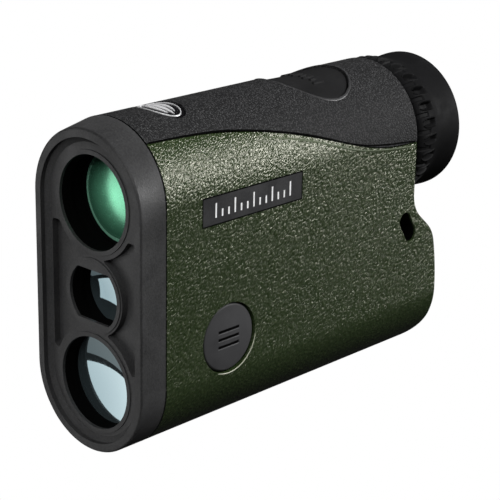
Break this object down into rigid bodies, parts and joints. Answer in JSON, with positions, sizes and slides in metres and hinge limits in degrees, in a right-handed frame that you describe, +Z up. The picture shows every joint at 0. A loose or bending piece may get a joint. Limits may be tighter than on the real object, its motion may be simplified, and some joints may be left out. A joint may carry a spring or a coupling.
{
  "type": "laser rangefinder",
  "caption": "Hand-held laser rangefinder with a monocular sight, stacked front lenses, a top range button, a side menu button and a turning eyecup.",
  "frame": {"origin": "middle of the bounding box's bottom: under the body, half way from the front rim to the eyecup rim", "axes": "the objectives face -Y, +Z is up, +X is the side with the menu button"},
  "size_m": [0.0342, 0.1048, 0.0725],
  "materials": {
    "armour": "dark olive, fine leather grain",
    "bezel_plastic": "fine matt charcoal black",
    "cover_plastic": "stippled charcoal grey",
    "button_rubber": "smooth satin black rubber",
    "cup_rubber": "satin black rubber",
    "ring_plastic": "satin black",
    "plate": "satin dark grey",
    "white_ink": "white print",
    "badge_gloss": "gloss black",
    "silver": "bright silver",
    "objective_glass": "green coated",
    "glass": "clear, coated",
    "barrel_black": "black anodised, ribbed",
    "inner_plastic": "moulded black",
    "seal_rubber": "black",
    "steel": "plated",
    "board": "green solder mask",
    "chip": "black moulded",
    "flex": "amber film",
    "filter": "deep red",
    "brass": "plated",
    "cell": "printed sleeve without text"
  },
  "bodies": {
    "housing": {"front_bezel": "bezel_plastic", "front_gasket": "seal_rubber", "body_shell": "armour", "top_cover": "cover_plastic", "nameplate": "plate", "nameplate_marks": "white_ink", "top_badge": "badge_gloss", "badge_emblem": "silver", "range_button_seal": "seal_rubber", "range_switch": "chip", "range_board": "board", "switch_flex": "flex", "menu_button_seal": "seal_rubber", "menu_switch": "chip", "menu_board": "board", "menu_flex": "flex", "optical_chassis": "inner_plastic", "chassis_screws": "steel", "bezel_screws": "steel", "board_screws": "steel", "objective_barrel": "barrel_black", "objective_retaining_ring": "barrel_black", "objective_lens": "objective_glass", "objective_doublet": "glass", "baffle_tube": "barrel_black", "prism_cage": "inner_plastic", "half_prism": "glass", "roof_prism": "glass", "reticle_display": "glass", "eyepiece_housing": "inner_plastic", "diopter_clip": "steel", "emitter_barrel": "barrel_black", "emitter_lens": "glass", "laser_diode": "brass", "emitter_board": "board", "receiver_barrel": "barrel_black", "receiver_lens": "glass", "bandpass_filter": "filter", "photodiode": "brass", "receiver_board": "board", "main_board": "board", "main_board_chips": "chip", "battery_tube": "inner_plastic", "battery_contact": "brass", "battery": "cell"},
    "range_key": {"range_button": "button_rubber", "range_plunger": "inner_plastic"},
    "menu_key": {"menu_button": "button_rubber", "menu_plunger": "inner_plastic"},
    "diopter": {"diopter_ring": "ring_plastic", "eyecup": "cup_rubber"},
    "eye_optics": {"eyepiece_cell": "barrel_black", "field_lens": "glass", "lens_spacer": "barrel_black", "eye_lens": "glass", "eyepiece_retaining_ring": "barrel_black"},
    "cap_seal": {"battery_cap_seal": "seal_rubber"},
    "cap": {"battery_cap": "bezel_plastic", "battery_spring": "steel"}
  },
  "joints": [
    {"name": "range_button_press", "type": "slide", "parent": "housing", "child": "range_key", "axis": [0, 0, -1], "range_m": [0, 0.0008], "stiffness_N_per_m": 1500, "springref_m": -0.0008},
    {"name": "menu_button_press", "type": "slide", "parent": "housing", "child": "menu_key", "axis": [-1, 0, 0], "range_m": [0, 0.0008], "stiffness_N_per_m": 1500, "springref_m": -0.0008},
    {"name": "diopter_turn", "type": "hinge", "parent": "housing", "child": "diopter", "pos_m": [0, 0.0396, 0.0551], "axis": [0, 1, 0], "range_deg": [-60, 60]},
    {"name": "eye_optics_travel", "type": "slide", "parent": "housing", "child": "eye_optics", "axis": [0, 1, 0], "range_m": [-0.001, 0.001]},
    {"name": "cap_travel", "type": "slide", "parent": "housing", "child": "cap_seal", "axis": [0, 1, 0], "range_m": [0, 0.003]},
    {"name": "cap_turn", "type": "hinge", "parent": "cap_seal", "child": "cap", "pos_m": [0, 0.0446, 0.0175], "axis": [0, -1, 0], "range_deg": [0, 720]}
  ],
  "couplings": [
    {"joint": "diopter_turn", "follows": "eye_optics_travel", "rad_per_m": 1047.2},
    {"joint": "cap_turn", "follows": "cap_travel", "rad_per_m": 4188.8}
  ]
}
